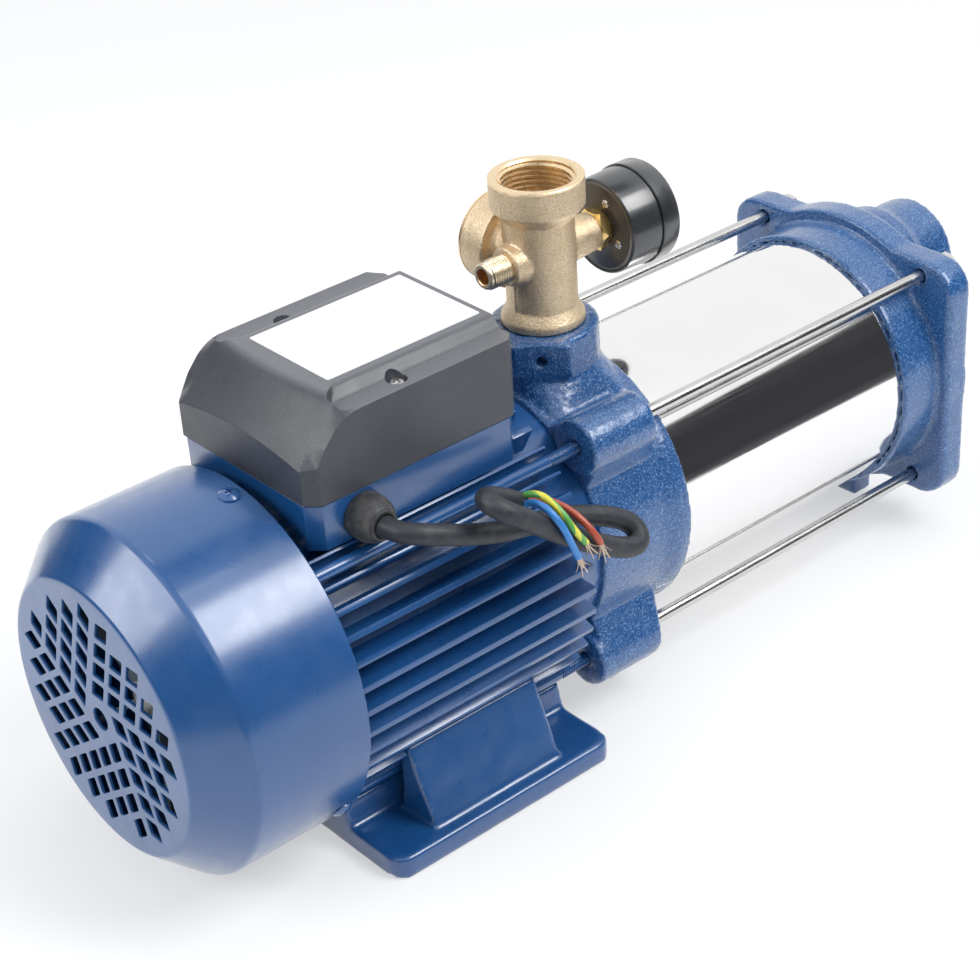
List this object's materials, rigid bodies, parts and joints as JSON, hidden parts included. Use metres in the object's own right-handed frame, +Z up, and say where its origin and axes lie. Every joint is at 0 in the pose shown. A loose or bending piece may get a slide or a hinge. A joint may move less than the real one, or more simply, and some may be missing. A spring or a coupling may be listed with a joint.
{
  "type": "multistage centrifugal pump",
  "caption": "Horizontal multistage water pump: finned motor with terminal box, cast inlet and outlet heads, stainless barrel on tie rods, brass outlet fitting with gauge",
  "frame": {"origin": "middle of the motor foot's underside, straight below the shaft axis", "axes": "+X from the fan along the shaft to the suction port, +Y to the far side, away from the power lead, +Z up"},
  "size_m": [0.4883, 0.184, 0.236],
  "materials": {
    "blue_paint": "smooth gloss blue paint",
    "rough_blue_paint": "gloss blue paint on rough sand-cast iron",
    "blue_screw": "painted steel fasteners",
    "steel": "turned steel",
    "bright_steel": "bright plated steel",
    "stainless": "mirror-polished stainless sheet",
    "core_steel": "stacked steel sheets",
    "copper": "bare and enamelled copper",
    "brass": "cast and machined brass",
    "black_plastic": "textured black plastic",
    "gauge_black": "satin black gauge case",
    "dark_plastic": "moulded dark plastic",
    "pale_plastic": "moulded pale resin",
    "white_label": "bare white plate",
    "ceramic": "fired ceramic",
    "rubber": "black rubber",
    "earth_sheath": "yellow and green insulation",
    "blue_sheath": "blue insulation",
    "brown_sheath": "brown-red insulation",
    "gauge_glass": "clear flat window"
  },
  "bodies": {
    "pump_body": {"fan_cover": "blue_paint", "fan_cover_screws": "blue_screw", "rear_shield": "blue_paint", "rear_bearing_outer": "steel", "motor_housing": "blue_paint", "foot_base": "blue_paint", "foot_screws": "steel", "stator_core": "core_steel", "stator_windings": "copper", "front_bearing_outer": "steel", "through_bolts": "blue_screw", "terminal_box_base": "blue_paint", "box_screws": "steel", "lid_gasket": "rubber", "terminal_box_lid": "black_plastic", "lid_screws": "steel", "nameplate": "white_label", "terminal_block": "pale_plastic", "capacitor": "pale_plastic", "cable_gland": "rubber", "mains_lead": "rubber", "earth_core": "earth_sheath", "blue_core": "blue_sheath", "brown_core": "brown_sheath", "core_ends": "copper", "outlet_casting": "rough_blue_paint", "seal_seat": "ceramic", "diffuser_1": "pale_plastic", "diffuser_2": "pale_plastic", "diffuser_3": "pale_plastic", "diffuser_4": "pale_plastic", "diffuser_5": "pale_plastic", "barrel": "stainless", "barrel_o_rings": "rubber", "inlet_cover": "rough_blue_paint", "tie_rods": "steel", "tie_rod_nuts": "bright_steel", "priming_plug": "blue_paint", "five_way_fitting": "brass", "gauge_socket": "brass", "gauge_case": "gauge_black", "gauge_back_screws": "steel", "bourdon_tube": "brass", "gauge_bezel": "gauge_black", "gauge_dial": "white_label", "gauge_glass": "gauge_glass"},
    "rotor": {"cooling_fan": "dark_plastic", "rear_bearing_inner": "steel", "rotor_core": "core_steel", "shaft": "steel", "front_bearing_inner": "steel", "slinger": "rubber", "seal_head": "rubber", "impeller_1": "pale_plastic", "impeller_2": "pale_plastic", "impeller_3": "pale_plastic", "impeller_4": "pale_plastic", "impeller_5": "pale_plastic", "shaft_nut": "steel"},
    "pointer": {"gauge_pointer": "gauge_black"}
  },
  "joints": [
    {"name": "rotor_spin", "type": "hinge", "parent": "pump_body", "child": "rotor", "pos_m": [0, 0, 0.082], "axis": [1, 0, 0], "continuous": true},
    {"name": "gauge_needle", "type": "hinge", "parent": "pump_body", "child": "pointer", "pos_m": [0.1592, 0, 0.2], "axis": [-1, 0, 0], "range_deg": [0, 270], "stiffness_Nm_per_rad": 0.00002, "springref_deg": -28.65}
  ]
}
